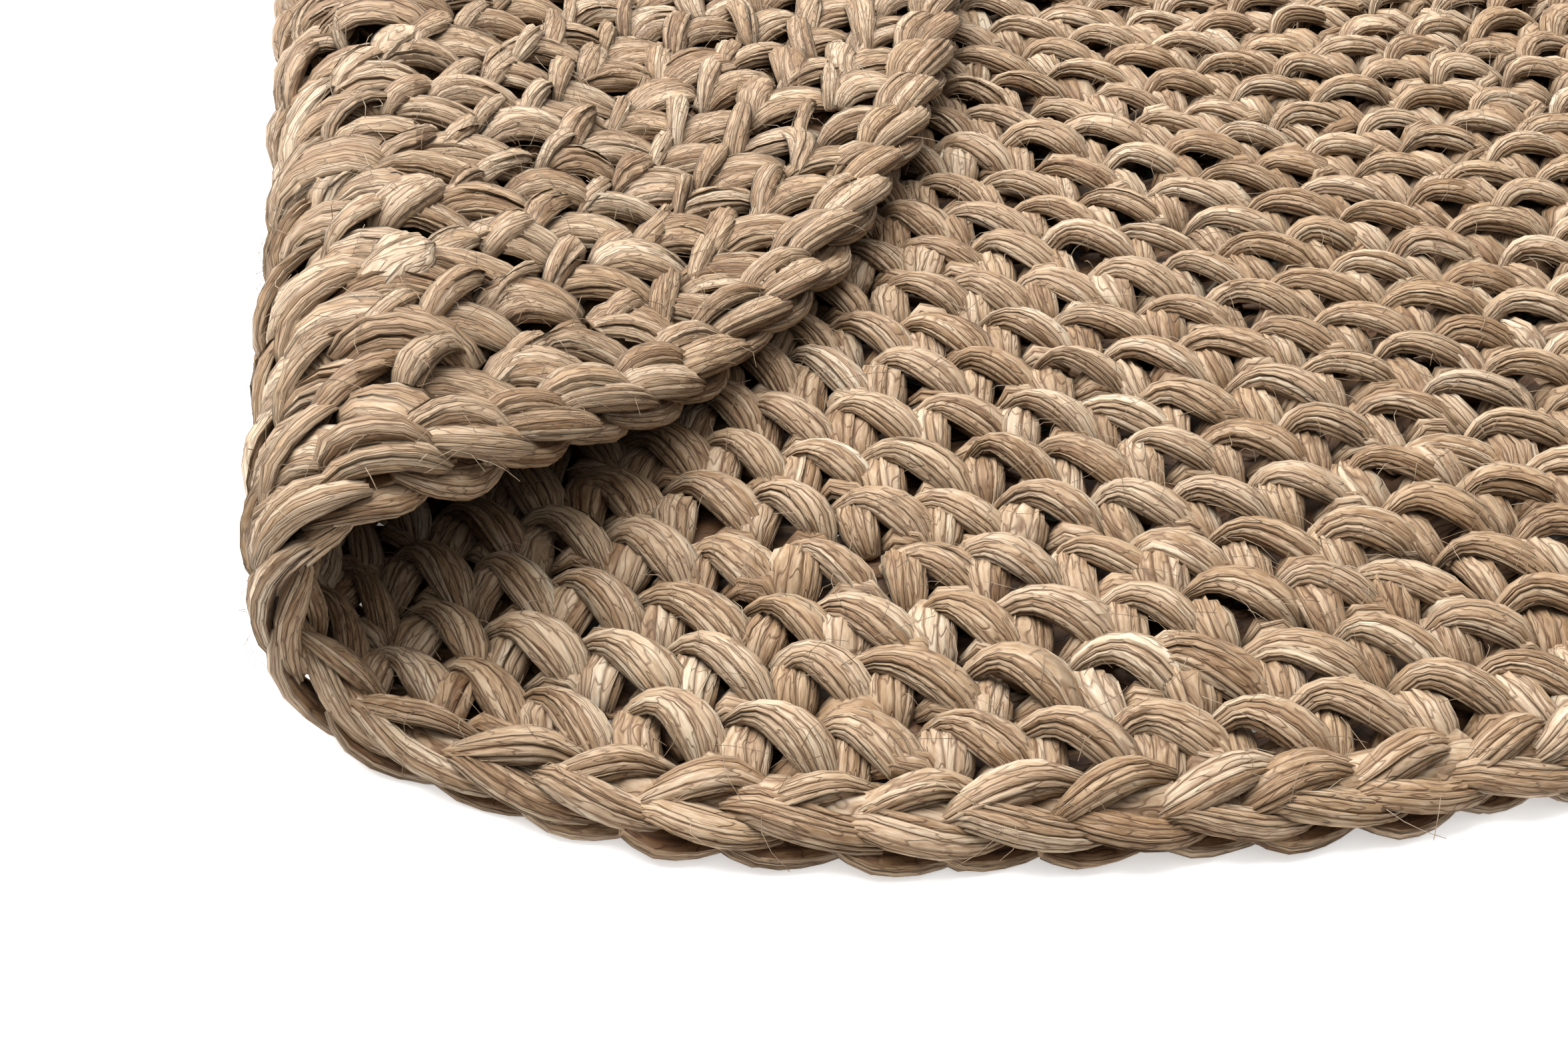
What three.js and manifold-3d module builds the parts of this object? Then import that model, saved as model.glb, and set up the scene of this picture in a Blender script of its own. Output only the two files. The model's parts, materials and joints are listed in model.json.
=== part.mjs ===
// Round hand-crocheted jute rug, lying on the floor with one side folded over onto itself.
//
// Every piece is shaped in the flat rug first: the centre of the rounds is the origin, the
// underside is z = 0 and the side that folds lies towards -X. Nested groups then turn each strip
// of the fold about its hinge line, so the same model opens flat again.

import * as THREE from 'three';
import { mergeVertices } from 'three/addons/utils/BufferGeometryUtils.js';
import Module from 'manifold-3d';

const wasm = await Module();
wasm.setup();

// Driving dimensions, in millimetres and degrees.
const startRadius = 6;      // closed loop that the first round is worked into
const roundPitch = 18;      // one round of crochet, measured outwards
const roundCount = 24;
const roundsPerBand = 3;    // rounds that are modelled together as one band
const borderWidth = 12;     // chain-stitch edging around the last round
const borderChamfer = 3;
const thickness = 14;       // of the crocheted fabric
const bendRadius = 22;      // of the fabric's middle surface where it folds
const bendStrips = 6;       // narrow strips that the fold is bent in
const rampSlope = 23;       // the folded side comes down onto the rug at this angle
const flapDepth = 122;      // how far the flat end of the folded side reaches in from the rim
const seamGap = 0.3;        // between neighbouring pieces
const restGap = 0.4;        // between the folded side and the rug it lies on
const facets = 72;          // sides of every round

const rugRadius = startRadius + roundCount * roundPitch + borderWidth;
const fieldRadius = rugRadius - borderWidth;
const outerBandRadius = fieldRadius - roundsPerBand * roundPitch;

// The fold is a chain: rug, strips, ramp, flap. Each strip turns by the same angle.
const hingeTurn = (180 + rampSlope) / (bendStrips + 1);
const stripPitch = 2 * bendRadius * Math.tan(toRadians(hingeTurn / 2));
const rampLength = (bendRise() - thickness - restGap) / Math.sin(toRadians(rampSlope));
const foldStart = rugRadius - flapDepth - rampLength - bendStrips * stripPitch;

const cutMargin = 5;        // cutting solids stand this far past what they cut
const cutReach = rugRadius + cutMargin;

const juteField = { color: 0xa88c70, roughness: 0.92, metalness: 0 };
const juteBorder = { color: 0x9a7f63, roughness: 0.9, metalness: 0 };

function toRadians(degrees) {
  return THREE.MathUtils.degToRad(degrees);
}

// Height that the strips climb from the rug's middle surface to the ramp's.
function bendRise() {
  let rise = 0;
  for (let strip = 1; strip <= bendStrips; strip += 1) {
    rise += stripPitch * Math.sin(toRadians(strip * hingeTurn));
  }
  return rise;
}

function toManifold(geometry) {
  const bare = geometry.clone();
  bare.deleteAttribute('normal');
  bare.deleteAttribute('uv');
  const merged = mergeVertices(bare);
  return new wasm.Manifold(new wasm.Mesh({
    numProp: 3,
    vertProperties: merged.attributes.position.array,
    triVerts: merged.index.array,
  }));
}

function toGeometry(solid) {
  const mesh = solid.getMesh();
  const geometry = new THREE.BufferGeometry();
  geometry.setAttribute('position', new THREE.BufferAttribute(mesh.vertProperties, 3));
  geometry.setIndex(new THREE.BufferAttribute(mesh.triVerts, 1));
  geometry.computeVertexNormals();
  return geometry;
}

// Flat band of crochet between two radii; a chamfer rounds its outer edge. An inner radius of
// zero gives a disc.
function crochetBand(innerRadius, outerRadius, chamfer = 0) {
  const profile = [
    new THREE.Vector2(innerRadius, 0),
    new THREE.Vector2(outerRadius - chamfer, 0),
  ];
  if (chamfer > 0) {
    profile.push(new THREE.Vector2(outerRadius, chamfer));
    profile.push(new THREE.Vector2(outerRadius, thickness - chamfer));
  }
  profile.push(new THREE.Vector2(outerRadius - chamfer, thickness));
  profile.push(new THREE.Vector2(innerRadius, thickness));
  if (innerRadius > 0) {
    profile.push(profile[0].clone());
  }
  const lathe = new THREE.LatheGeometry(profile, facets);
  lathe.rotateX(Math.PI / 2);
  return toManifold(lathe);
}

// One side of a strip at a hinge line, from below the fabric to above it. Half of the side is
// upright and the half on the inside of the bend leans back, so that the pieces close without
// pressing into each other. side is +1 where the strip lies on the +X side of the line.
function hingeSide(hingeX, side, leanAngle, leansAbove) {
  const lean = Math.tan(toRadians(leanAngle)) * (thickness / 2 + cutMargin);
  const edgeX = hingeX + side * seamGap / 2;
  return [
    new THREE.Vector2(edgeX + (leansAbove ? 0 : side * lean), -cutMargin),
    new THREE.Vector2(edgeX, thickness / 2),
    new THREE.Vector2(edgeX + (leansAbove ? side * lean : 0), thickness + cutMargin),
  ];
}

// Everything between two sides, across the whole rug.
function stripCutter(innerSide, outerSide) {
  const outline = [...innerSide, ...outerSide.reverse()];
  const prism = new THREE.ExtrudeGeometry(new THREE.Shape(outline), {
    depth: 2 * cutReach,
    bevelEnabled: false,
  });
  prism.rotateX(Math.PI / 2);
  prism.translate(0, cutReach, 0);
  return toManifold(prism);
}

function uprightSide(x) {
  return [new THREE.Vector2(x, -cutMargin), new THREE.Vector2(x, thickness + cutMargin)];
}

function addPiece(group, name, solid, finish) {
  const piece = new THREE.Mesh(toGeometry(solid), new THREE.MeshStandardMaterial(finish));
  piece.name = name;
  group.add(piece);
}

// The two ends of a band where a strip crosses it: front is towards -Y, back towards +Y.
function addBandEnds(group, name, band, finish) {
  for (const end of band.decompose()) {
    const side = end.boundingBox().min[1] < 0 ? 'front' : 'back';
    addPiece(group, `${name}_${side}`, end, finish);
  }
}

// A group that turns about a hinge line in the middle of the fabric, and holds flat-rug pieces.
function addHinge(parent, hingeX, turn) {
  const pivot = new THREE.Group();
  pivot.position.set(hingeX, 0, thickness / 2);
  pivot.rotation.y = toRadians(turn);
  parent.add(pivot);
  const pieces = new THREE.Group();
  pieces.position.set(-hingeX, 0, -thickness / 2);
  pivot.add(pieces);
  return pieces;
}

const field = crochetBand(0, fieldRadius - seamGap);
const innerField = crochetBand(0, outerBandRadius - seamGap);
const outerBand = crochetBand(outerBandRadius, fieldRadius - seamGap);
const border = crochetBand(fieldRadius, rugRadius, borderChamfer);

// The rug on the floor: starting loop, bands of rounds and the edging, cut off at the fold.
function buildFloorPart(rug) {
  const innerSide = uprightSide(cutReach);
  const outerSide = hingeSide(-foldStart, 1, hingeTurn / 2, true);
  const cutter = stripCutter(innerSide, outerSide);
  addPiece(rug, 'start_loop', crochetBand(0, startRadius - seamGap), juteField);
  const bandCount = roundCount / roundsPerBand;
  for (let band = 0; band < bandCount; band += 1) {
    const firstRound = band * roundsPerBand;
    const lastRound = firstRound + roundsPerBand;
    const innerRadius = startRadius + firstRound * roundPitch;
    const outerRadius = startRadius + lastRound * roundPitch - seamGap;
    const solid = crochetBand(innerRadius, outerRadius).intersect(cutter);
    addPiece(rug, `rounds_${firstRound + 1}_to_${lastRound}`, solid, juteField);
  }
  addPiece(rug, 'border', border.intersect(cutter), juteBorder);
}

function buildBendStrip(group, strip, innerX, outerX) {
  const innerSide = hingeSide(innerX, -1, hingeTurn / 2, true);
  const outerSide = hingeSide(outerX, 1, hingeTurn / 2, true);
  const cutter = stripCutter(innerSide, outerSide);
  addPiece(group, `bend_${strip}_rounds`, field.intersect(cutter), juteField);
  addBandEnds(group, `bend_${strip}_border`, border.intersect(cutter), juteBorder);
}

function buildRamp(group, innerX, outerX) {
  const innerSide = hingeSide(innerX, -1, hingeTurn / 2, true);
  const outerSide = hingeSide(outerX, 1, rampSlope / 2, false);
  const cutter = stripCutter(innerSide, outerSide);
  addPiece(group, 'ramp_rounds', innerField.intersect(cutter), juteField);
  addBandEnds(group, 'ramp_last_rounds', outerBand.intersect(cutter), juteField);
  addBandEnds(group, 'ramp_border', border.intersect(cutter), juteBorder);
}

function buildFlap(group, innerX) {
  const innerSide = hingeSide(innerX, -1, rampSlope / 2, false);
  const outerSide = uprightSide(-cutReach);
  const cutter = stripCutter(innerSide, outerSide);
  addPiece(group, 'flap_rounds', innerField.intersect(cutter), juteField);
  addPiece(group, 'flap_last_rounds', outerBand.intersect(cutter), juteField);
  addPiece(group, 'flap_border', border.intersect(cutter), juteBorder);
}

const rug = new THREE.Group();
buildFloorPart(rug);

let hingeX = -foldStart;
let body = rug;
for (let strip = 1; strip <= bendStrips; strip += 1) {
  body = addHinge(body, hingeX, hingeTurn);
  buildBendStrip(body, strip, hingeX, hingeX - stripPitch);
  hingeX -= stripPitch;
}

const ramp = addHinge(body, hingeX, hingeTurn);
buildRamp(ramp, hingeX, hingeX - rampLength);
hingeX -= rampLength;

const flap = addHinge(ramp, hingeX, -rampSlope);
buildFlap(flap, hingeX);

export default rug;
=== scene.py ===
import json
import math

import bmesh
import bpy
import numpy as np
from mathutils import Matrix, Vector


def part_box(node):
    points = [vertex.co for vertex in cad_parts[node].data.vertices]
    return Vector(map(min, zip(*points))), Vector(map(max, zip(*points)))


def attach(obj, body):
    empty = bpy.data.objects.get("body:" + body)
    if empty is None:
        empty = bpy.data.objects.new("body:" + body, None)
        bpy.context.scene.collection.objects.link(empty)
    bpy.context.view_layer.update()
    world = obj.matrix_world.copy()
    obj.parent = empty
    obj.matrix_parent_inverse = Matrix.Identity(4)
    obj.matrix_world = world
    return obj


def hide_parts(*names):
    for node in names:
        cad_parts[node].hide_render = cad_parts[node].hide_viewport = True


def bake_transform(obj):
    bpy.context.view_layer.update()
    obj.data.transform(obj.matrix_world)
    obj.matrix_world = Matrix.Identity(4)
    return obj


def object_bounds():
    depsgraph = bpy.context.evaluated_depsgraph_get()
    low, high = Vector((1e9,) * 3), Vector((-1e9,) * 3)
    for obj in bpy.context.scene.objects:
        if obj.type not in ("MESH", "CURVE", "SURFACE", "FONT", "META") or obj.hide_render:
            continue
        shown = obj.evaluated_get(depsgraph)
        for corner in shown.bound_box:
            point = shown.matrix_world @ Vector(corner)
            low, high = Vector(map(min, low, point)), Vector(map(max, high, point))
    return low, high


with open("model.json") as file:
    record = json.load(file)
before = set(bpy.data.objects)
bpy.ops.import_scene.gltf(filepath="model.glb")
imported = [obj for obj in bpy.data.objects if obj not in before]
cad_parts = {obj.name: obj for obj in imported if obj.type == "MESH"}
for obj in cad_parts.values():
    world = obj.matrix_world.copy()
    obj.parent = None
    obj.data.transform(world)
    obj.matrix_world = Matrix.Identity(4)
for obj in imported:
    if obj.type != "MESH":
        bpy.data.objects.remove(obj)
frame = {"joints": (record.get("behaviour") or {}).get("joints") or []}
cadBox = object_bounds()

# A round rug crocheted from bundles of jute yarn, with one side folded over onto the rest.
# Lengths are in millimetres up to the last step of each mesh. The rug is worked flat first:
# centre at the origin, underside at height 0, and the side that folds lies towards -X.
# "reach" is a point's distance from the centre towards -X in that flat rug.

mm = 0.001
chance = np.random.default_rng(2409)  # the one source of all handmade unevenness

joints = {joint["name"]: joint for joint in frame["joints"]}
foldJoints = [joints[name] for name in sorted(n for n in joints if n.startswith("fold_"))]
levelJoint = joints["flap_level"]


# A hinge's place along X and its height.
def hingePlace(joint):
    return np.array(joint["pos_m"])[[0, 2]] / mm


# sizes of the rug, all read from the frame
rugRadius = cadBox[1].y / mm
middle = hingePlace(foldJoints[0])[1]  # height of the middle of the fabric
foldStart = -hingePlace(foldJoints[0])[0]
strip = np.linalg.norm(hingePlace(foldJoints[1]) - hingePlace(foldJoints[0]))
stripTurn = math.radians(foldJoints[0]["range_deg"][1])
slope = math.radians(levelJoint["range_deg"][1])
rampLength = np.linalg.norm(hingePlace(levelJoint) - hingePlace(foldJoints[-1]))
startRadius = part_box("start_loop")[1].y / mm
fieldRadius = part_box("rounds_22_to_24")[1].y / mm
roundCount = 24
roundsPerBand = 3
roundPitch = (fieldRadius - startRadius) / roundCount

# the fold: an arc over the seven hinges, a straight ramp, and a gentle arc back to level
bendRadius = strip / 2 / math.tan(stripTurn / 2)
fullTurn = stripTurn * len(foldJoints)
levelRadius = 44  # of the gentle arc
levelHalf = levelRadius * math.tan(slope / 2)
arcStart = foldStart - strip / 2
arcEnd = arcStart + strip * len(foldJoints)
levelMiddle = arcEnd - strip / 2 + rampLength
levelStart = levelMiddle - levelHalf
levelEnd = levelMiddle + levelHalf

# how the rim is drawn in beside the bend; "share" is the outer share of the radius that moves
tuck = {"reach": 208, "width": 38, "depth": 33, "inset": 3, "share": 0.3}
floorEase = 0.3  # past the start of the arc, how soon a bundle may reach below the underside


# Flat rug to folded rug. First the rim is drawn in beside the bend, by a bell curve of reach
# times the square of how far out a point lies in the outer share; the same product times "inset"
# moves it along +X. The heading is 0 up to the arc, turns evenly to the full turn, stays so down
# the ramp and turns back to half a turn. The middle of the fabric is the sum of steps (-cos
# heading, sin heading), and a point stands off it along (sin heading, cos heading) by its height
# over the middle.
def foldUp(points):
    reach = -points[:, 0]
    bell = np.exp(-((reach - tuck["reach"]) / tuck["width"]) ** 2)
    share = tuck["share"]
    outer = np.clip(np.abs(points[:, 1]) / rugRadius - (1 - share), 0, 1) / share
    y = points[:, 1] - np.sign(points[:, 1]) * tuck["depth"] * bell * outer**2
    lowest = -np.maximum(reach - arcStart, 0) * floorEase  # flattened where it lies on the floor
    above = np.maximum(points[:, 2], lowest) - middle
    arcTurn = np.clip((reach - arcStart) / (arcEnd - arcStart), 0, 1) * fullTurn
    levelTurn = fullTurn - np.clip((reach - levelStart) / (levelEnd - levelStart), 0, 1) * slope
    heading = np.where(reach < arcEnd, arcTurn, levelTurn)
    ramp = np.clip(reach, arcEnd, levelStart) - arcEnd
    x = -np.minimum(reach, arcStart) - bendRadius * np.sin(arcTurn) - ramp * math.cos(fullTurn)
    x += levelRadius * (np.sin(levelTurn) - math.sin(fullTurn)) + np.maximum(reach - levelEnd, 0)
    z = middle + bendRadius * (1 - np.cos(arcTurn)) + ramp * math.sin(fullTurn)
    z += levelRadius * (np.cos(levelTurn) - math.cos(fullTurn))
    x = x + tuck["inset"] * bell * outer**2
    return np.column_stack([x + above * np.sin(heading), y, z + above * np.cos(heading)])


# The folded place of the fabric's middle at one reach, on the line y = 0.
def middleAt(reach):
    return foldUp(np.array([[-reach, 0.0, middle]]))[0]


# Vectors brought to a length of one.
def unit(vectors):
    return vectors / np.maximum(np.linalg.norm(vectors, axis=-1, keepdims=True), 1e-9)


# Catmull-Rom weights: row s says how much of each control point makes point s. The curve passes
# each control point with a slope of half the step between its two neighbours.
def curveWeights(controls, steps):
    at = np.linspace(0, controls - 1, steps)
    first = np.minimum(at.astype(int), controls - 2)
    t = at - first
    parts = [(-t + 2 * t**2 - t**3) / 2, (2 - 5 * t**2 + 3 * t**3) / 2,
             (t + 4 * t**2 - 3 * t**3) / 2, (-t**2 + t**3) / 2]
    weights = np.zeros((steps, controls))
    for offset, part in zip((-1, 0, 1, 2), parts):
        np.add.at(weights, (np.arange(steps), np.clip(first + offset, 0, controls - 1)), part)
    return weights


# how a bundle's section departs from an ellipse, as shares of the flute unless another is named
section = {
    "crest": 0.6,
    "strandUneven": 0.35,
    "stepUneven": 0.12,
    "fullFlute": 1.5,  # half height, in mm, under which the flutes fade
    "farSide": 0.7,  # share of the half height on the side away from the outward direction
    "endLength": 0.6,  # of the pointed ends, as a share of the half height
    "twistSpread": 0.4,  # as a share of the twist
}
toneSpread = {"bundle": 0.05, "strand": 0.10, "bundleWarmth": 0.16, "strandWarmth": 0.12}


# Carries a fluted section along many paths at once. At angle a from the outward direction a point
# stands off the path by (width sin a, height cos a), a little more on the crest of a strand and a
# little less in the valley between two, and less high where cos a is below 0. Past the spread
# angle there are no strands. centres is (bundle, step, xyz); facing is 1 for the top of the rug
# and -1 for its underside.
def sweep(centres, halfWidths, halfHeights, look, facing):
    count, steps = centres.shape[:2]
    strands = look["strands"]
    plain = look["plainPoints"]
    tangent = unit(np.gradient(centres, axis=1))
    sideways = unit(np.cross(tangent, [0, 0, facing]))
    outward = np.cross(sideways, tangent)

    fluted = 2 * strands + 1
    ring = fluted + plain
    spread = math.radians(look["spreadDegrees"])
    across = np.linspace(-spread, spread, fluted)
    back = np.linspace(spread, 2 * math.pi - spread, plain + 2)[1:-1]
    angle = np.broadcast_to(np.concatenate([across, back]), (count, steps, ring)).copy()
    along = np.linspace(0, 1, steps)[None, :, None]
    angle += look["twist"] * chance.normal(1, section["twistSpread"], (count, 1, 1)) * (along - 0.5)
    wander = chance.normal(0, 1, (count, 2, fluted))
    share = 2 * spread / fluted * look["wander"]
    angle[:, :, :fluted] += share * (wander[:, :1] * np.cos(math.pi * along)
                                     + wander[:, 1:] * np.sin(math.pi * along))

    valley = np.arange(ring) % 2 == 0
    valley[fluted:] = False
    stand = np.where(valley, -look["flute"], look["flute"] * section["crest"])
    stand[fluted:] = 0
    uneven = chance.normal(0, look["flute"] * section["strandUneven"], (count, 1, ring))
    uneven = uneven + chance.normal(0, look["flute"] * section["stepUneven"], (count, steps, ring))
    stand = stand + np.where(np.arange(ring) < fluted, uneven, 0)
    stand = stand * np.minimum(1, halfHeights[:, :, None] / section["fullFlute"])
    flat = np.where(np.cos(angle) < 0, section["farSide"], 1.0)
    high = (halfHeights[:, :, None] + stand) * np.cos(angle) * flat
    wide = (halfWidths[:, :, None] + stand) * np.sin(angle)
    rings = (centres[:, :, None] + high[..., None] * outward[:, :, None]
             + wide[..., None] * sideways[:, :, None])
    outwards = np.array([[[-1], [1]]]) * section["endLength"]
    ends = centres[:, [0, -1]] + tangent[:, [0, -1]] * halfHeights[:, [0, -1], None] * outwards
    points = np.concatenate([rings.reshape(count, -1, 3), ends], axis=1)

    # faces of one bundle, then of all of them
    step, side = np.meshgrid(np.arange(steps - 1), np.arange(ring), indexing="ij")
    step, side = step.ravel(), side.ravel()
    after = (side + 1) % ring
    quads = np.column_stack([step * ring + side, step * ring + after,
                             (step + 1) * ring + after, (step + 1) * ring + side])
    edge = np.arange(ring)
    nextEdge = (edge + 1) % ring
    last = (steps - 1) * ring
    caps = np.concatenate([
        np.column_stack([nextEdge, edge, np.full(ring, steps * ring)]),
        np.column_stack([last + edge, last + nextEdge, np.full(ring, steps * ring + 1)])])
    offset = np.arange(count)[:, None, None] * points.shape[1]

    # which strand a face belongs to, and where across that strand its corners lie
    strandOf = np.where(edge < 2 * strands, edge // 2, strands)
    left = np.where(edge < 2 * strands, np.where(edge % 2 == 0, 0.02, 0.5), 0.3)
    right = np.where(edge < 2 * strands, np.where(edge % 2 == 0, 0.5, 0.98), 0.7)
    length = np.concatenate([np.zeros((count, 1)), np.cumsum(
        np.linalg.norm(np.diff(centres, axis=1), axis=2), axis=1)], axis=1)
    length = length + chance.uniform(0, 400, (count, 1))  # no two bundles look alike
    acrossYarns = strandOf[:, None] + np.column_stack([left, right, right, left])
    quadUv = np.empty((count, len(quads), 4, 2))
    quadUv[..., 0] = acrossYarns[side] * look["yarns"]
    quadUv[..., 1] = np.stack([length[:, step], length[:, step],
                               length[:, step + 1], length[:, step + 1]], axis=-1)
    capUv = np.empty((count, len(caps), 3, 2))
    capUv[..., 0] = 0.5
    capUv[..., 1] = np.repeat(length[:, [0, -1]], ring, axis=1)[..., None]

    bundleTone = chance.normal(0, 1, (count, 1))
    strandTone = chance.normal(0, 1, (count, strands + 1))
    # tone differs at random by bundle and strand; the look's shade also darkens the bundles that lie on
    # the floor, as painted shade
    tone = 0.5 + toneSpread["bundle"] * bundleTone + toneSpread["strand"] * strandTone + look["shade"]
    # the plain back of each bundle is darkened by painted shade
    tone[:, strands] += look["backPaintedShade"]
    warmth = (0.5 + toneSpread["bundleWarmth"] * chance.normal(0, 1, (count, 1))
              + toneSpread["strandWarmth"] * chance.normal(0, 1, tone.shape))
    capStrand = np.concatenate([strandOf, strandOf])
    return {
        "points": points.reshape(-1, 3),
        "valley": np.tile(np.concatenate([np.tile(valley, steps), [False, False]]), count),
        "quads": (quads + offset).reshape(-1, 4),
        "caps": (caps + offset).reshape(-1, 3),
        "quadUv": quadUv.reshape(-1, 4, 2),
        "capUv": capUv.reshape(-1, 3, 2),
        "quadTone": np.stack([tone[:, strandOf[side]], warmth[:, strandOf[side]]], -1).reshape(-1, 2),
        "capTone": np.stack([tone[:, capStrand], warmth[:, capStrand]], -1).reshape(-1, 2),
    }


# Several swept shapes as one.
def gather(parts):
    starts = np.cumsum([0] + [len(part["points"]) for part in parts[:-1]])
    whole = {key: np.concatenate([part[key] for part in parts]) for key in parts[0]}
    for key in ("quads", "caps"):
        whole[key] = np.concatenate([part[key] + start for part, start in zip(parts, starts)])
    return whole


bowShare = 0.8  # how much of a stitch's bow its middle takes
thinnest = 0.7  # a bundle keeps this share of its smallest width and height


# One bundle of every stitch of one round. A control point (u, v, height, half width, half height)
# lies u stitches along the round and the share v of its depth outwards: angle = stitch angle + u
# * step angle, radius = inner + v * depth. "jitter" spreads these five, in their own units.
def workRound(bundle, inner, depth, angles, stepAngle):
    controls = np.array(bundle["route"], float)
    path = curveWeights(len(controls), bundle["steps"]) @ controls
    along = np.linspace(0, 1, bundle["steps"])[:, None]
    # each stitch is shifted, tilted and bowed a little
    shifted, tilted, bowed = chance.normal(0, 1, (3, len(angles), 1, 5)) * bundle["jitter"]
    path = path + (shifted + tilted * (2 * along - 1) + bowed * np.sin(math.pi * along) * bowShare)
    path[..., 3:] = np.maximum(path[..., 3:], controls[:, 3:].min(axis=0) * thinnest)
    theta = angles[:, None] + path[..., 0] * stepAngle
    radius = inner + path[..., 1] * depth
    centres = np.stack([radius * np.cos(theta), radius * np.sin(theta), path[..., 2]], axis=-1)
    return sweep(centres, path[..., 3] * bundle["widen"], path[..., 4], bundle, bundle["facing"])


# One crochet stitch, as its bundles lie. Heights are for a fabric 14 mm thick.
yarnLook = {
    "spreadDegrees": 112,  # strands are drawn this far round from the outward direction
    "plainPoints": 1,  # of the section past the strands
    "flute": 0.42,  # depth between strands
    "twist": 0.5,  # in radians, from end to end
    "wander": 0.4,  # of each strand's crest and valleys, as a share of half its width
    "widen": 1.0,
    "yarns": 1,  # yarns that one strand stands for
    "shade": 0.0,
    # painted shade on a bundle's plain back, which is seen only in the holes and slits of the fabric
    "backPaintedShade": -0.4,
    "jitter": (0.045, 0.05, 0.5, 0.4, 0.22),
}
unevenLook = {**yarnLook, "twist": 0.7, "wander": 0.55, "jitter": (0.065, 0.075, 0.6, 0.7, 0.35)}
stitchWidth = 20.45  # a bundle of about eight 1.3 mm yarns and the opening beside it
stitchScatter = 0.05  # how unevenly stitches follow each other, in stitches
stitchBundles = {
    "arch": {**yarnLook, "strands": 9, "steps": 10, "facing": 1, "route": [
        (-0.60, 0.14, 7.4, 1.4, 1.3), (-0.41, 0.08, 10.6, 2.4, 2.0), (-0.20, 0.09, 12.0, 3.6, 2.6),
        (0.03, 0.20, 12.2, 4.9, 2.9), (0.25, 0.39, 11.4, 5.3, 2.9), (0.43, 0.60, 9.4, 4.5, 2.5),
        (0.56, 0.82, 5.0, 2.0, 1.6)]},
    "leg": {**yarnLook, "strands": 7, "steps": 5, "facing": 1, "widen": 1.1, "route": [
        (-0.32, 0.00, 7.4, 3.6, 2.0), (-0.35, 0.30, 9.4, 5.2, 2.8), (-0.33, 0.62, 9.0, 5.1, 2.7),
        (-0.27, 0.96, 5.6, 3.2, 1.9)]},
    "ribs": {**yarnLook, "strands": 5, "steps": 4, "facing": 1, "widen": 1.25, "route": [
        (-0.04, 0.70, 4.6, 1.8, 1.4), (0.12, 0.69, 8.4, 3.1, 2.0), (0.28, 0.69, 9.5, 3.5, 2.2),
        (0.45, 0.74, 8.6, 3.0, 2.0), (0.60, 0.82, 5.4, 1.8, 1.4)]},
}
undersideBundles = {
    "rope": {**unevenLook, "strands": 5, "steps": 8, "facing": -1, "twist": 1.3, "yarns": 2, "route": [
        (0.66, 0.30, 4.6, 2.2, 1.5), (0.36, 0.16, 1.7, 3.3, 2.3), (0.00, 0.05, 0.9, 3.6, 2.5),
        (-0.36, -0.05, 1.6, 3.3, 2.3), (-0.68, -0.15, 4.6, 2.2, 1.5)]},
    "fan": {**unevenLook, "strands": 10, "steps": 8, "facing": -1, "yarns": 2, "route": [
        (0.62, 0.24, 4.6, 3.6, 1.6), (0.36, 0.30, 3.0, 5.7, 2.5), (0.08, 0.45, 2.5, 7.3, 2.9),
        (-0.17, 0.66, 2.8, 8.0, 2.8), (-0.38, 0.88, 4.0, 7.4, 2.3), (-0.46, 1.08, 6.0, 6.0, 1.6)]},
}
# the same bundles where they lie on the floor: plainer and wider, and darker by painted shade, as they are
# seen only through the holes
hiddenLook = {"steps": 3, "shade": -0.25, "widen": 1.45}
plainUnderside = {
    "rope": {**undersideBundles["rope"], **hiddenLook, "strands": 2},
    "fan": {**undersideBundles["fan"], **hiddenLook, "strands": 3},
}
# the outer arm shows its back from outside and below, so it gets less painted shade there
allRound = {"spreadDegrees": 152, "backPaintedShade": -0.1}  # seen from above, outside and below
edging = {
    "width": rugRadius - fieldRadius,
    "bundles": {
        "innerArm": {**yarnLook, "strands": 8, "steps": 10, "facing": 1, "route": [
            (-0.66, 0.50, 6.0, 1.7, 1.5), (-0.38, 0.42, 9.8, 3.5, 2.6), (-0.04, 0.16, 11.7, 4.4, 2.9),
            (0.34, -0.08, 11.4, 4.0, 2.7), (0.74, -0.20, 7.2, 1.9, 1.6)]},
        "outerArm": {**yarnLook, **allRound, "strands": 11, "steps": 10, "facing": 1, "route": [
            (-0.66, 0.36, 6.0, 1.7, 1.5), (-0.38, 0.52, 9.0, 3.5, 2.9), (-0.02, 0.70, 8.8, 4.5, 3.5),
            (0.38, 0.76, 7.0, 4.1, 3.4), (0.72, 0.68, 5.6, 3.2, 2.7), (0.96, 0.54, 4.4, 1.8, 1.6)]},
        "underArm": {**yarnLook, "strands": 7, "steps": 9, "facing": -1, "yarns": 2, "route": [
            (0.80, 0.20, 5.4, 2.0, 1.6), (0.44, 0.36, 3.0, 4.3, 2.8), (0.04, 0.56, 2.4, 5.0, 3.2),
            (-0.36, 0.72, 3.2, 4.5, 3.0), (-0.70, 0.74, 5.8, 2.6, 1.9)]},
        "underRope": {**yarnLook, "strands": 6, "steps": 8, "facing": -1, "yarns": 2, "route": [
            (0.64, -0.02, 4.8, 1.8, 1.5), (0.34, -0.06, 1.8, 3.6, 2.5), (0.00, 0.02, 0.9, 4.2, 2.8),
            (-0.34, 0.20, 1.6, 3.8, 2.6), (-0.62, 0.44, 4.8, 1.8, 1.5)]},
        "core": {**yarnLook, "strands": 3, "steps": 3, "facing": 1, "route": [
            (-0.80, 0.20, 7.0, 6.4, 3.2), (0.00, 0.20, 7.0, 6.4, 3.2), (0.80, 0.20, 7.0, 6.4, 3.2)]},
    },
}


roundStart = {"degrees": -75, "lag": 0.1}


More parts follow.
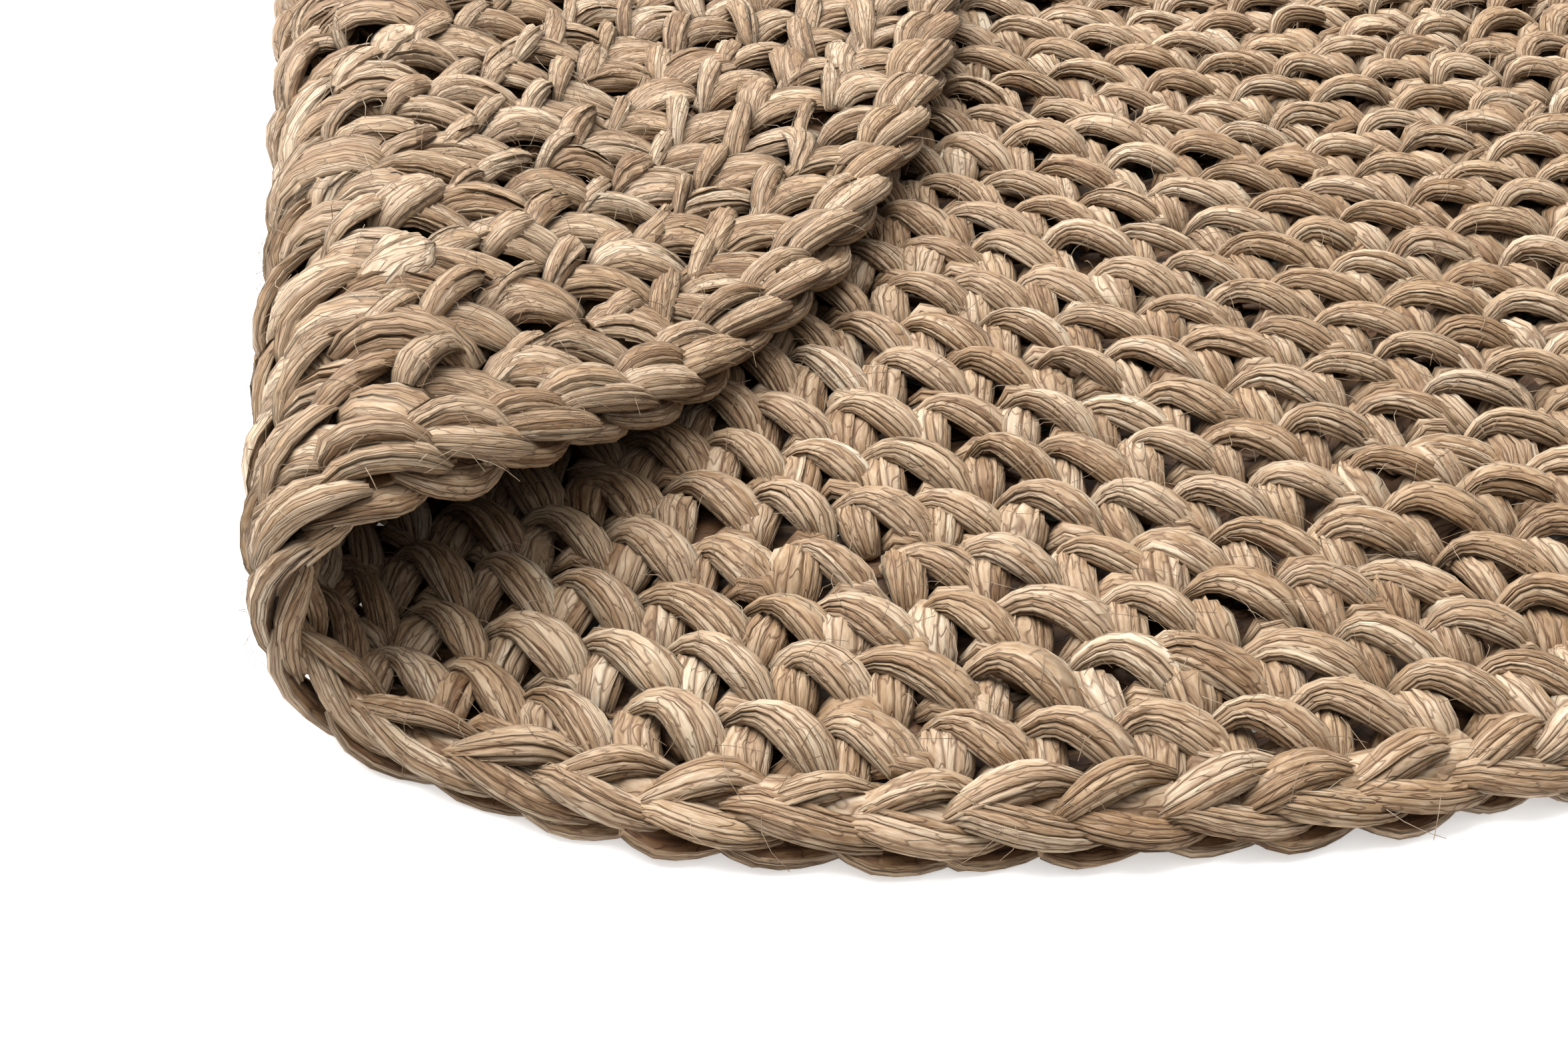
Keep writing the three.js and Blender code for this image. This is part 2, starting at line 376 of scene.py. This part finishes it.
# All stitches of one round, counted from 1 at the centre. At the start angle its stitches lie a
# tenth of a stitch further on than those of the round inside it.
def roundStitches(number):
    inner = startRadius + (number - 1) * roundPitch
    count = round(2 * math.pi * (inner + roundPitch / 2) / stitchWidth)
    stepAngle = 2 * math.pi / count
    places = np.arange(count) + roundStart["lag"] * number
    angles = math.radians(roundStart["degrees"]) + places * stepAngle
    angles = angles + chance.normal(0, stitchScatter, count) * stepAngle
    parts = [workRound(bundle, inner, roundPitch, angles, stepAngle) for bundle in stitchBundles.values()]
    shown = -(inner + roundPitch / 2) * np.cos(angles) > arcStart - roundPitch
    for name, bundle in undersideBundles.items():
        if shown.any():
            parts.append(workRound(bundle, inner, roundPitch, angles[shown], stepAngle))
        if (~shown).any():
            parts.append(workRound(plainUnderside[name], inner, roundPitch, angles[~shown], stepAngle))
    return gather(parts)


# The chain-stitch round that edges the rug.
def edgingStitches():
    count = round(2 * math.pi * (fieldRadius + edging["width"] / 2) / stitchWidth)
    stepAngle = 2 * math.pi / count
    angles = (np.arange(count) + chance.normal(0, stitchScatter, count)) * stepAngle
    return gather([workRound(bundle, fieldRadius, edging["width"], angles, stepAngle)
                   for bundle in edging["bundles"].values()])


loopArcs = 4
loopJitter = (0.02, 0.02, 0.2, 0.1, 0.1)
loopArc = {**yarnLook, "strands": 5, "steps": 7, "facing": 1, "jitter": loopJitter, "route": [
    (-0.70, 0.8, 5.0, 1.5, 1.4), (-0.3, 0.8, 8.0, 2.0, 1.8), (0.2, 0.8, 8.6, 2.0, 1.8),
    (0.75, 0.8, 5.0, 1.5, 1.4)]}


# The small ring that the first round is worked into: overlapping arcs above, and the same arcs
# 5 mm lower facing down.
def startLoop():
    stepAngle = 2 * math.pi / loopArcs
    angles = np.arange(loopArcs) * stepAngle
    lower = {**loopArc, "facing": -1, "route": [
        (u, v, height - 5, wide, high) for u, v, height, wide, high in loopArc["route"]]}
    return gather([workRound(bundle, 0, startRadius, angles, stepAngle) for bundle in (loopArc, lower)])


# a loose fibre is a bundle of one strand with no flutes
strayFibre = {
    **yarnLook,
    "strands": 1,
    "plainPoints": 0,
    "spreadDegrees": 115,
    "flute": 0.0,
    "twist": 0.0,
    "wander": 0.0,
    "steps": 4,
    "shade": 0.1,
    "backPaintedShade": 0.0,
    "count": 3600,
    "radius": 0.09,  # coarser than a real fibre, so that it shows
    "length": (5, 16),
    "lift": (0.6, 2.6),
    "bend": 1.1,  # spread of its turn, in radians
    "scatter": 0.5,  # spread of its height
    "baseHeight": {"top": 14.3, "under": -0.4},
}


# Loose fibres on one face: each is an arc whose heading bends evenly along it and whose height
# rises and falls as half a sine wave. They lie at reaches from low to high.
def strayFibres(count, low, high, baseHeight, facing):
    spot = chance.uniform(-rugRadius, rugRadius, (count * 12, 2))  # many fall outside
    far = np.hypot(spot[:, 0], spot[:, 1])
    spot = spot[(far < rugRadius) & (far > startRadius) & (-spot[:, 0] > low) & (-spot[:, 0] < high)]
    spot = spot[:count]
    count = len(spot)
    steps = strayFibre["steps"]
    along = np.linspace(0, 1, steps)
    length = chance.uniform(*strayFibre["length"], (count, 1))
    heading = (chance.uniform(0, 2 * math.pi, (count, 1))
               + chance.normal(0, strayFibre["bend"], (count, 1)) * along)
    stride = length / (steps - 1)
    x = spot[:, :1] + np.cumsum(np.cos(heading) * stride, axis=1)
    y = spot[:, 1:] + np.cumsum(np.sin(heading) * stride, axis=1)
    lift = chance.uniform(*strayFibre["lift"], (count, 1)) * np.sin(math.pi * along)
    z = baseHeight + facing * lift + chance.normal(0, strayFibre["scatter"], (count, 1))
    thin = np.full((count, steps), strayFibre["radius"])
    return sweep(np.stack([x, y, z], axis=-1), thin, thin, strayFibre, facing)


faceSets = {"quads": ("quads", "quadUv", "quadTone"), "caps": ("caps", "capUv", "capTone")}


# The faces of a shape that pass a test of their corners' places (face, corner, xyz).
def keepFaces(shape, test):
    kept = dict(shape)
    for faces, keys in faceSets.items():
        passed = test(shape["points"][shape[faces]])
        for key in keys:
            kept[key] = shape[key][passed]
    return kept


# The faces of a shape that reach into the slab from low to high, and only the points they use.
def cutOut(shape, low, high):
    cut = keepFaces(shape, lambda corners: ((-corners[..., 0]).max(axis=1) > low)
                    & ((-corners[..., 0]).min(axis=1) < high))
    used = np.unique(np.concatenate([cut["quads"].ravel(), cut["caps"].ravel()]))
    renumber = np.zeros(len(shape["points"]), int)
    renumber[used] = np.arange(len(used))
    cut["quads"], cut["caps"] = renumber[cut["quads"]], renumber[cut["caps"]]
    cut["points"], cut["valley"] = shape["points"][used], shape["valley"][used]
    return cut


# One piece of the rug: the part of a shape between two reaches, folded into place.
def makePiece(name, shape, low=-np.inf, high=np.inf):
    shape = cutOut(shape, low, high)
    mesh = bpy.data.meshes.new(name)
    quads, caps = shape["quads"], shape["caps"]
    loops = np.concatenate([quads.ravel(), caps.ravel()])
    sizes = np.concatenate([np.full(len(quads), 4), np.full(len(caps), 3)])
    mesh.vertices.add(len(shape["points"]))
    mesh.vertices.foreach_set("co", shape["points"].ravel())
    mesh.loops.add(len(loops))
    mesh.loops.foreach_set("vertex_index", loops)
    mesh.polygons.add(len(sizes))
    mesh.polygons.foreach_set("loop_start", np.cumsum(sizes) - sizes)
    mesh.update(calc_edges=True)
    mesh.polygons.foreach_set("use_smooth", np.ones(len(sizes), bool))
    uv = mesh.uv_layers.new(name="alongYarn")
    uv.data.foreach_set("uv", np.concatenate([shape["quadUv"].ravel(), shape["capUv"].ravel()]))
    tones = np.concatenate([shape["quadTone"], shape["capTone"]])
    for column, attribute in enumerate(("yarnToneAndPaintedShade", "yarnWarmth")):
        mesh.attributes.new(attribute, "FLOAT", "FACE").data.foreach_set("value", tones[:, column])
    ends = np.empty(len(mesh.edges) * 2, int)
    mesh.edges.foreach_get("vertices", ends)
    sharp = shape["valley"][ends.reshape(-1, 2)].all(axis=1)
    mesh.edges.foreach_set("use_edge_sharp", sharp)

    # trimmed exactly at the two reaches, so that neighbours meet
    reach = -shape["points"][:, 0]
    if reach.min() < low or reach.max() > high:
        bm = bmesh.new()
        bm.from_mesh(mesh)
        for place, direction in ((low, 1), (high, -1)):
            if np.isfinite(place):
                bmesh.ops.bisect_plane(bm, geom=bm.verts[:] + bm.edges[:] + bm.faces[:], dist=1e-4,
                                       plane_co=(-place, 0, 0), plane_no=(direction, 0, 0),
                                       clear_outer=True)
        bm.to_mesh(mesh)
        bm.free()
    flat = np.empty(len(mesh.vertices) * 3)
    mesh.vertices.foreach_get("co", flat)
    mesh.vertices.foreach_set("co", (foldUp(flat.reshape(-1, 3)) * mm).ravel())
    mesh.update()
    piece = bpy.data.objects.new(name, mesh)
    bpy.context.scene.collection.objects.link(piece)
    return piece


# sRGB hex to linear colour.
def linear(hexColour):
    values = [int(hexColour[i:i + 2], 16) / 255 for i in (1, 3, 5)]
    curved = [v / 12.92 if v <= 0.04045 else ((v + 0.055) / 1.055) ** 2.4 for v in values]
    return (*curved, 1.0)


# Adds a node, sets its properties and inputs, and links sockets into its inputs. An input is
# named, or given by its number ("input0") where several have one name.
def addNode(tree, kind, settings, **links):
    node = tree.nodes.new(kind)
    for key, value in settings.items():
        if isinstance(key, int) or key in node.inputs:
            node.inputs[key].default_value = value
        else:
            setattr(node, key, value)
    for key, socket in links.items():
        number = key.removeprefix("input")
        tree.links.new(socket, node.inputs[int(number) if number.isdigit() else key])
    return node


# Gives a colour ramp its stops: place and sRGB hex.
def setRamp(node, stops):
    ramp = node.color_ramp
    while len(ramp.elements) < len(stops):
        ramp.elements.new(0.5)
    for element, (place, colour) in zip(ramp.elements, stops):
        element.position = place
        element.color = linear(colour)


# Raw jute, spun and crocheted: dull straw to brown, each strand its own shade, fine fibres along
# it, a faint silky sheen, and painted shade in the creases between strands and where fibres part.
def juteYarn(name, look):
    material = bpy.data.materials.new(name)
    material.use_nodes = True
    tree = material.node_tree
    tree.nodes.clear()
    place = addNode(tree, "ShaderNodeTexCoord", {})
    yarn = addNode(tree, "ShaderNodeUVMap", {"uv_map": "alongYarn"})
    tone = addNode(tree, "ShaderNodeAttribute", {"attribute_name": "yarnToneAndPaintedShade"})
    warmth = addNode(tree, "ShaderNodeAttribute", {"attribute_name": "yarnWarmth"})

    # fibres run along the strand and turn slowly round it
    slanted = addNode(tree, "ShaderNodeMapping", {
        "Rotation": (0, 0, look["fibreSlant"]),
        "Scale": (look["yarnWidth"] / look["fibreWidth"], 1 / look["fibreLength"], 1)},
        Vector=yarn.outputs["UV"])
    fibres = addNode(tree, "ShaderNodeTexNoise", {"Scale": 1.0, "Detail": 3.0, "Roughness": 0.65},
                     Vector=slanted.outputs["Vector"])
    # the parting lines read another stretch of noise than the fibres
    parting = addNode(tree, "ShaderNodeMapping", {
        "Location": (7.3, 2.1, 0), "Rotation": (0, 0, -look["fibreSlant"]),
        "Scale": (look["yarnWidth"] / look["partWidth"], 1 / look["partLength"], 1)},
        Vector=yarn.outputs["UV"])
    parts = addNode(tree, "ShaderNodeTexNoise", {"Scale": 1.0, "Detail": 1.0},
                    Vector=parting.outputs["Vector"])
    lumps = addNode(tree, "ShaderNodeTexNoise", {"Scale": 1 / (look["lumpSize"] * mm), "Detail": 2.0},
                    Vector=place.outputs["Object"])
    patches = addNode(tree, "ShaderNodeTexNoise", {"Scale": 1 / (look["patchSize"] * mm), "Detail": 2.0},
                      Vector=place.outputs["Object"])

    # shade = strand tone + fibres + lumps + patches, each about its own middle
    fibreShade = addNode(tree, "ShaderNodeMapRange", {
        "From Min": look["fibreSpan"][0], "From Max": look["fibreSpan"][1],
        "To Min": -look["fibreShade"] / 2, "To Max": look["fibreShade"] / 2},
        Value=fibres.outputs["Fac"])
    lumpShade = addNode(tree, "ShaderNodeMath", {"operation": "MULTIPLY_ADD", 1: look["lumpShade"],
                        2: -look["lumpShade"] / 2}, input0=lumps.outputs["Fac"])
    patchShade = addNode(tree, "ShaderNodeMath", {"operation": "MULTIPLY_ADD", 1: look["patchShade"],
                         2: -look["patchShade"] / 2}, input0=patches.outputs["Fac"])
    shade = tone.outputs["Fac"]
    for extra in (fibreShade, lumpShade, patchShade):
        shade = addNode(tree, "ShaderNodeMath", {"operation": "ADD"}, input0=shade,
                        input1=extra.outputs[0]).outputs["Value"]
    straw = addNode(tree, "ShaderNodeValToRGB", {}, Fac=shade)
    setRamp(straw, look["straw"])
    brown = addNode(tree, "ShaderNodeValToRGB", {}, Fac=shade)
    setRamp(brown, look["brown"])
    mixed = addNode(tree, "ShaderNodeMix", {"data_type": "RGBA"}, Factor=warmth.outputs["Fac"],
                    input6=straw.outputs["Color"], input7=brown.outputs["Color"])

    # painted shade in the valleys between strands: 1 on a strand, falling to the crease shade at its two
    # edges
    parted = addNode(tree, "ShaderNodeSeparateXYZ", {}, Vector=yarn.outputs["UV"])
    folded = addNode(tree, "ShaderNodeMath", {"operation": "PINGPONG", 1: 0.5}, input0=parted.outputs["X"])
    crown = addNode(tree, "ShaderNodeMapRange", {"From Min": 0.0, "From Max": look["creaseWidth"],
                    "To Min": look["creasePaintedShade"], "To Max": 1.0}, Value=folded.outputs["Value"])
    # painted shade in thin dark lines where fibres part: the parting shade where the noise crosses its
    # middle, else 1
    centred = addNode(tree, "ShaderNodeMath", {"operation": "SUBTRACT", 1: 0.5},
                      input0=parts.outputs["Fac"])
    offMiddle = addNode(tree, "ShaderNodeMath", {"operation": "ABSOLUTE"}, input0=centred.outputs["Value"])
    lineShade = addNode(tree, "ShaderNodeMapRange", {"From Min": 0.0, "From Max": look["partLine"],
                      "To Min": look["partingPaintedShade"], "To Max": 1.0}, Value=offMiddle.outputs["Value"])
    dark = addNode(tree, "ShaderNodeMath", {"operation": "MULTIPLY"}, input0=crown.outputs["Result"],
                   input1=lineShade.outputs["Result"])
    # painted shade: where dark is low, the colour is multiplied by the painted shadow colour
    shadow = addNode(tree, "ShaderNodeMix", {"data_type": "RGBA", "blend_type": "MULTIPLY", 0: 1.0,
                     7: linear(look["paintedShadowColour"])}, input6=mixed.outputs[2])
    coloured = addNode(tree, "ShaderNodeMix", {"data_type": "RGBA"}, Factor=dark.outputs["Value"],
                       input6=shadow.outputs[2], input7=mixed.outputs[2])

    # relief: fibres, and deeper where it is dark
    height = addNode(tree, "ShaderNodeMath", {"operation": "MULTIPLY_ADD", 1: look["creaseDepth"]},
                     input0=dark.outputs["Value"], input2=fibres.outputs["Fac"])
    raised = addNode(tree, "ShaderNodeBump", {
        "Strength": look["relief"], "Distance": look["fibreHeight"] * mm},
                     Height=height.outputs["Value"])
    surface = addNode(tree, "ShaderNodeBsdfPrincipled", {
        "Roughness": look["roughness"], "Specular IOR Level": look["specular"],
        "Sheen Weight": look["sheen"], "Sheen Roughness": look["sheenRoughness"],
        "Sheen Tint": linear(look["sheenTint"])},
        **{"Base Color": coloured.outputs[2], "Normal": raised.outputs["Normal"]})
    addNode(tree, "ShaderNodeOutputMaterial", {}, Surface=surface.outputs["BSDF"])
    return material


# sizes in millimetres, shades as shares of the colour ramps
juteLook = {
    "yarnWidth": 1.3,
    "fibreWidth": 0.3,  # real fibres are finer; these are as coarse as they need to be to show
    "fibreLength": 6.0,
    "fibreSlant": 0.05,
    "fibreHeight": 0.3,
    "fibreShade": 0.48,
    "fibreSpan": (0.3, 0.7),  # the fibre noise mostly keeps between these
    # the lines where fibres part, darkened by painted shade
    "partWidth": 0.75,
    "partLength": 9.0,
    "partLine": 0.035,
    "partingPaintedShade": 0.35,
    "lumpSize": 7.0,
    "lumpShade": 0.25,
    "patchSize": 60.0,
    "patchShade": 0.2,
    # painted shade in the creases between strands
    "creaseWidth": 0.15,
    "creasePaintedShade": 0.2,
    "creaseDepth": 1.2,
    "paintedShadowColour": "#8A6848",
    "relief": 0.8,
    "roughness": 0.62,
    "specular": 0.3,
    "sheen": 0.12,
    "sheenRoughness": 0.45,
    "sheenTint": "#E8D9BF",
    "straw": [(0.0, "#5C3F24"), (0.3, "#81674B"), (0.55, "#9F8971"), (0.8, "#B1A18B"), (1.0, "#BBB09E")],
    "brown": [(0.0, "#4A2F17"), (0.3, "#725538"), (0.55, "#917759"), (0.8, "#A69177"), (1.0, "#B3A58E")],
}
edgingLook = {**juteLook, "patchShade": 0.25}
finishes = {
    "jute_crochet": juteYarn("crocheted_raw_jute", juteLook),
    "jute_edging": juteYarn("chain_stitched_raw_jute", edgingLook),
}
print("materials made")


# Gives a piece its finish and the CAD nodes that it stands for.
def dress(piece, slotName, nodes):
    piece.data.materials.append(finishes[slotName])
    if nodes:
        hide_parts(*nodes)


# A piece that rides on one body.
def settle(piece, slotName, body, *nodes):
    dress(piece, slotName, nodes)
    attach(piece, body)


# A piece that spans one hinge, shaped as folded: all of the turn lies inside its two cut faces,
# which lean by half the turn. Its place is baked into its mesh; it does not move with the bodies beside
# it.
def settleAcross(piece, slotName, bodies, low, high, turn, *nodes):
    dress(piece, slotName, nodes)
    start, end = Vector(middleAt(low)), Vector(middleAt(high))
    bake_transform(piece)


rounds = {number: roundStitches(number) for number in range(1, roundCount + 1)}
print("stitches worked:", sum(len(shape["quads"]) * 2 for shape in rounds.values()), "triangles")
edge = edgingStitches()
# fibres on the face that is seen: the top to the end of the second strip, the underside from there
seenTo = arcStart + 2 * strip
loose = {
    "top": strayFibres(strayFibre["count"], -rugRadius, seenTo, strayFibre["baseHeight"]["top"], 1),
    "under": strayFibres(strayFibre["count"] // 2, seenTo, rugRadius,
                         strayFibre["baseHeight"]["under"], -1),
}
print("edging and stray fibres made")

settle(makePiece("start_loop_yarn", startLoop()), "jute_crochet", "floor_part", "start_loop")
for number, shape in rounds.items():
    first = number - (number - 1) % roundsPerBand
    band = f"rounds_{first}_to_{first + roundsPerBand - 1}"
    settle(makePiece(f"stitches_round_{number}", shape, high=arcStart), "jute_crochet", "floor_part", band)
settle(makePiece("edging_floor", edge, high=arcStart), "jute_edging", "floor_part", "border")
settle(makePiece("loose_fibres_floor", loose["top"], high=arcStart), "jute_crochet", "floor_part")
print("floor part made")

turned = gather([shape for number, shape in rounds.items() if startRadius + number * roundPitch > arcStart]
                + [loose["top"], loose["under"]])
sides = {
    "front": keepFaces(edge, lambda corners: corners[:, 0, 1] < 0),
    "back": keepFaces(edge, lambda corners: corners[:, 0, 1] > 0),
}

bodies = ["floor_part"] + [f"bend_{k}" for k in range(1, len(foldJoints))] + ["ramp", "flap"]
for k in range(1, len(foldJoints) + 1):
    low, high = arcStart + (k - 1) * strip, arcStart + k * strip
    pair = bodies[k - 1:k + 1]
    hasStrip = k < len(foldJoints)  # the last hinge turns the ramp, which is replaced below
    nodes = [f"bend_{k}_rounds"] if hasStrip else []
    piece = makePiece(f"stitches_fold_{k}", turned, low, high)
    settleAcross(piece, "jute_crochet", pair, low, high, stripTurn, *nodes)
    for side, shape in sides.items():
        nodes = [f"bend_{k}_border_{side}"] if hasStrip else []
        piece = makePiece(f"edging_fold_{k}_{side}", shape, low, high)
        settleAcross(piece, "jute_edging", pair, low, high, stripTurn, *nodes)

settle(makePiece("stitches_ramp", turned, arcEnd, levelStart), "jute_crochet", "ramp",
       "ramp_rounds", "ramp_last_rounds_front", "ramp_last_rounds_back")
piece = makePiece("stitches_flap_bend", turned, levelStart, levelEnd)
settleAcross(piece, "jute_crochet", ["ramp", "flap"], levelStart, levelEnd, slope)
for side, shape in sides.items():
    piece = makePiece(f"edging_ramp_{side}", shape, arcEnd, levelStart)
    settle(piece, "jute_edging", "ramp", f"ramp_border_{side}")
    piece = makePiece(f"edging_flap_bend_{side}", shape, levelStart, levelEnd)
    settleAcross(piece, "jute_edging", ["ramp", "flap"], levelStart, levelEnd, slope)
piece = makePiece("stitches_flap", turned, levelEnd)
settle(piece, "jute_crochet", "flap", "flap_rounds", "flap_last_rounds")
settle(makePiece("edging_flap", edge, levelEnd), "jute_edging", "flap", "flap_border")
print("folded part made")


# in metres
studio = {
    "floorSize": 12.0,
    "floorPaintedGlow": 0.45,  # the paper glows, painted light with no lamp below it, which keeps shadows faint
    "glowFrom": (0.40, 0.435),  # but not under the rug: the glow grows between these distances
    "glowPastFold": 0.02,  # and over this distance from the start of the fold
    "paperColour": "#F6F6F6",
    "paperRoughness": 0.9,
    "keyPlace": (-0.45, 0.5, 1.45),
    "keySize": 2.4,
    "keyPower": 103,
    "skyStrength": 1.05,
    "skyLean": 0.35,
    "skyRise": (0.1, 0.7),
    "horizonStrength": 0.05,
    "eye": (-0.146, -0.6885, 0.305),
    "heading": math.radians(9.3),
    "pitch": math.radians(40.3),
    "lens": 45.6,
}

floorMesh = bpy.data.meshes.new("studio_floor")
half = studio["floorSize"] / 2
corners = [(-half, -half, 0), (half, -half, 0), (half, half, 0), (-half, half, 0)]
floorMesh.from_pydata(corners, [], [(0, 1, 2, 3)])
studioFloor = bpy.data.objects.new("studio_floor", floorMesh)
bpy.context.scene.collection.objects.link(studioFloor)
paper = bpy.data.materials.new("white_paper_sweep")  # matt white background paper
paper.use_nodes = True
sheet = paper.node_tree
sheetSurface = sheet.nodes["Principled BSDF"]
sheetSurface.inputs["Base Color"].default_value = linear(studio["paperColour"])
sheetSurface.inputs["Roughness"].default_value = studio["paperRoughness"]
sheetSurface.inputs["Emission Color"].default_value = (1, 1, 1, 1)
# the painted glow starts under the rim of the rug, or where the fold starts on the -X side, whichever
# gives more
spot = addNode(sheet, "ShaderNodeTexCoord", {})
fromMiddle = addNode(sheet, "ShaderNodeVectorMath", {"operation": "LENGTH"}, input0=spot.outputs["Object"])
pastRim = addNode(sheet, "ShaderNodeMapRange", {
    "From Min": studio["glowFrom"][0], "From Max": studio["glowFrom"][1]},
    Value=fromMiddle.outputs["Value"])
spotAxes = addNode(sheet, "ShaderNodeSeparateXYZ", {}, Vector=spot.outputs["Object"])
pastFold = addNode(sheet, "ShaderNodeMapRange", {
    "From Min": -arcStart * mm, "From Max": -arcStart * mm - studio["glowPastFold"]},
    Value=spotAxes.outputs["X"])
glowing = addNode(sheet, "ShaderNodeMath", {"operation": "MAXIMUM"}, input0=pastRim.outputs["Result"],
                  input1=pastFold.outputs["Result"])
glow = addNode(sheet, "ShaderNodeMath", {"operation": "MULTIPLY", 1: studio["floorPaintedGlow"]},
               input0=glowing.outputs["Value"])
sheet.links.new(glow.outputs["Value"], sheetSurface.inputs["Emission Strength"])
floorMesh.materials.append(paper)

# a white ceiling over darker walls, brighter behind the rug than in front of it:
# strength rises with the height of the direction and a little with its Y
sky = bpy.data.worlds.new("soft_white_room")
sky.use_nodes = True
room = sky.node_tree
upward = addNode(room, "ShaderNodeTexCoord", {})
split = addNode(room, "ShaderNodeSeparateXYZ", {}, Vector=upward.outputs["Generated"])
leaning = addNode(room, "ShaderNodeMath", {"operation": "MULTIPLY_ADD", 1: studio["skyLean"]},
                  input0=split.outputs["Y"], input2=split.outputs["Z"])
strength = addNode(room, "ShaderNodeMapRange", {
    "From Min": studio["skyRise"][0], "From Max": studio["skyRise"][1],
    "To Min": studio["horizonStrength"], "To Max": studio["skyStrength"]},
    Value=leaning.outputs["Value"])
background = room.nodes["Background"]
background.inputs["Color"].default_value = (1, 1, 1, 1)
room.links.new(strength.outputs["Result"], background.inputs["Strength"])
bpy.context.scene.world = sky

key = bpy.data.lights.new("softbox", "AREA")
key.shape = "DISK"
key.size = studio["keySize"]
key.energy = studio["keyPower"]
keyObject = bpy.data.objects.new("softbox", key)
keyObject.location = studio["keyPlace"]
keyObject.rotation_euler = (-Vector(studio["keyPlace"])).to_track_quat("-Z", "Y").to_euler()
bpy.context.scene.collection.objects.link(keyObject)

camera = bpy.data.cameras.new("camera")
camera.lens = studio["lens"]
camera.clip_start = 0.01
cameraObject = bpy.data.objects.new("camera", camera)
cameraObject.location = studio["eye"]
heading, pitch = studio["heading"], studio["pitch"]
aim = Vector((math.sin(heading) * math.cos(pitch), math.cos(heading) * math.cos(pitch), -math.sin(pitch)))
cameraObject.rotation_euler = aim.to_track_quat("-Z", "Y").to_euler()
bpy.context.scene.collection.objects.link(cameraObject)
bpy.context.scene.camera = cameraObject
bpy.context.scene.view_settings.view_transform = "Standard"
print("stage made")
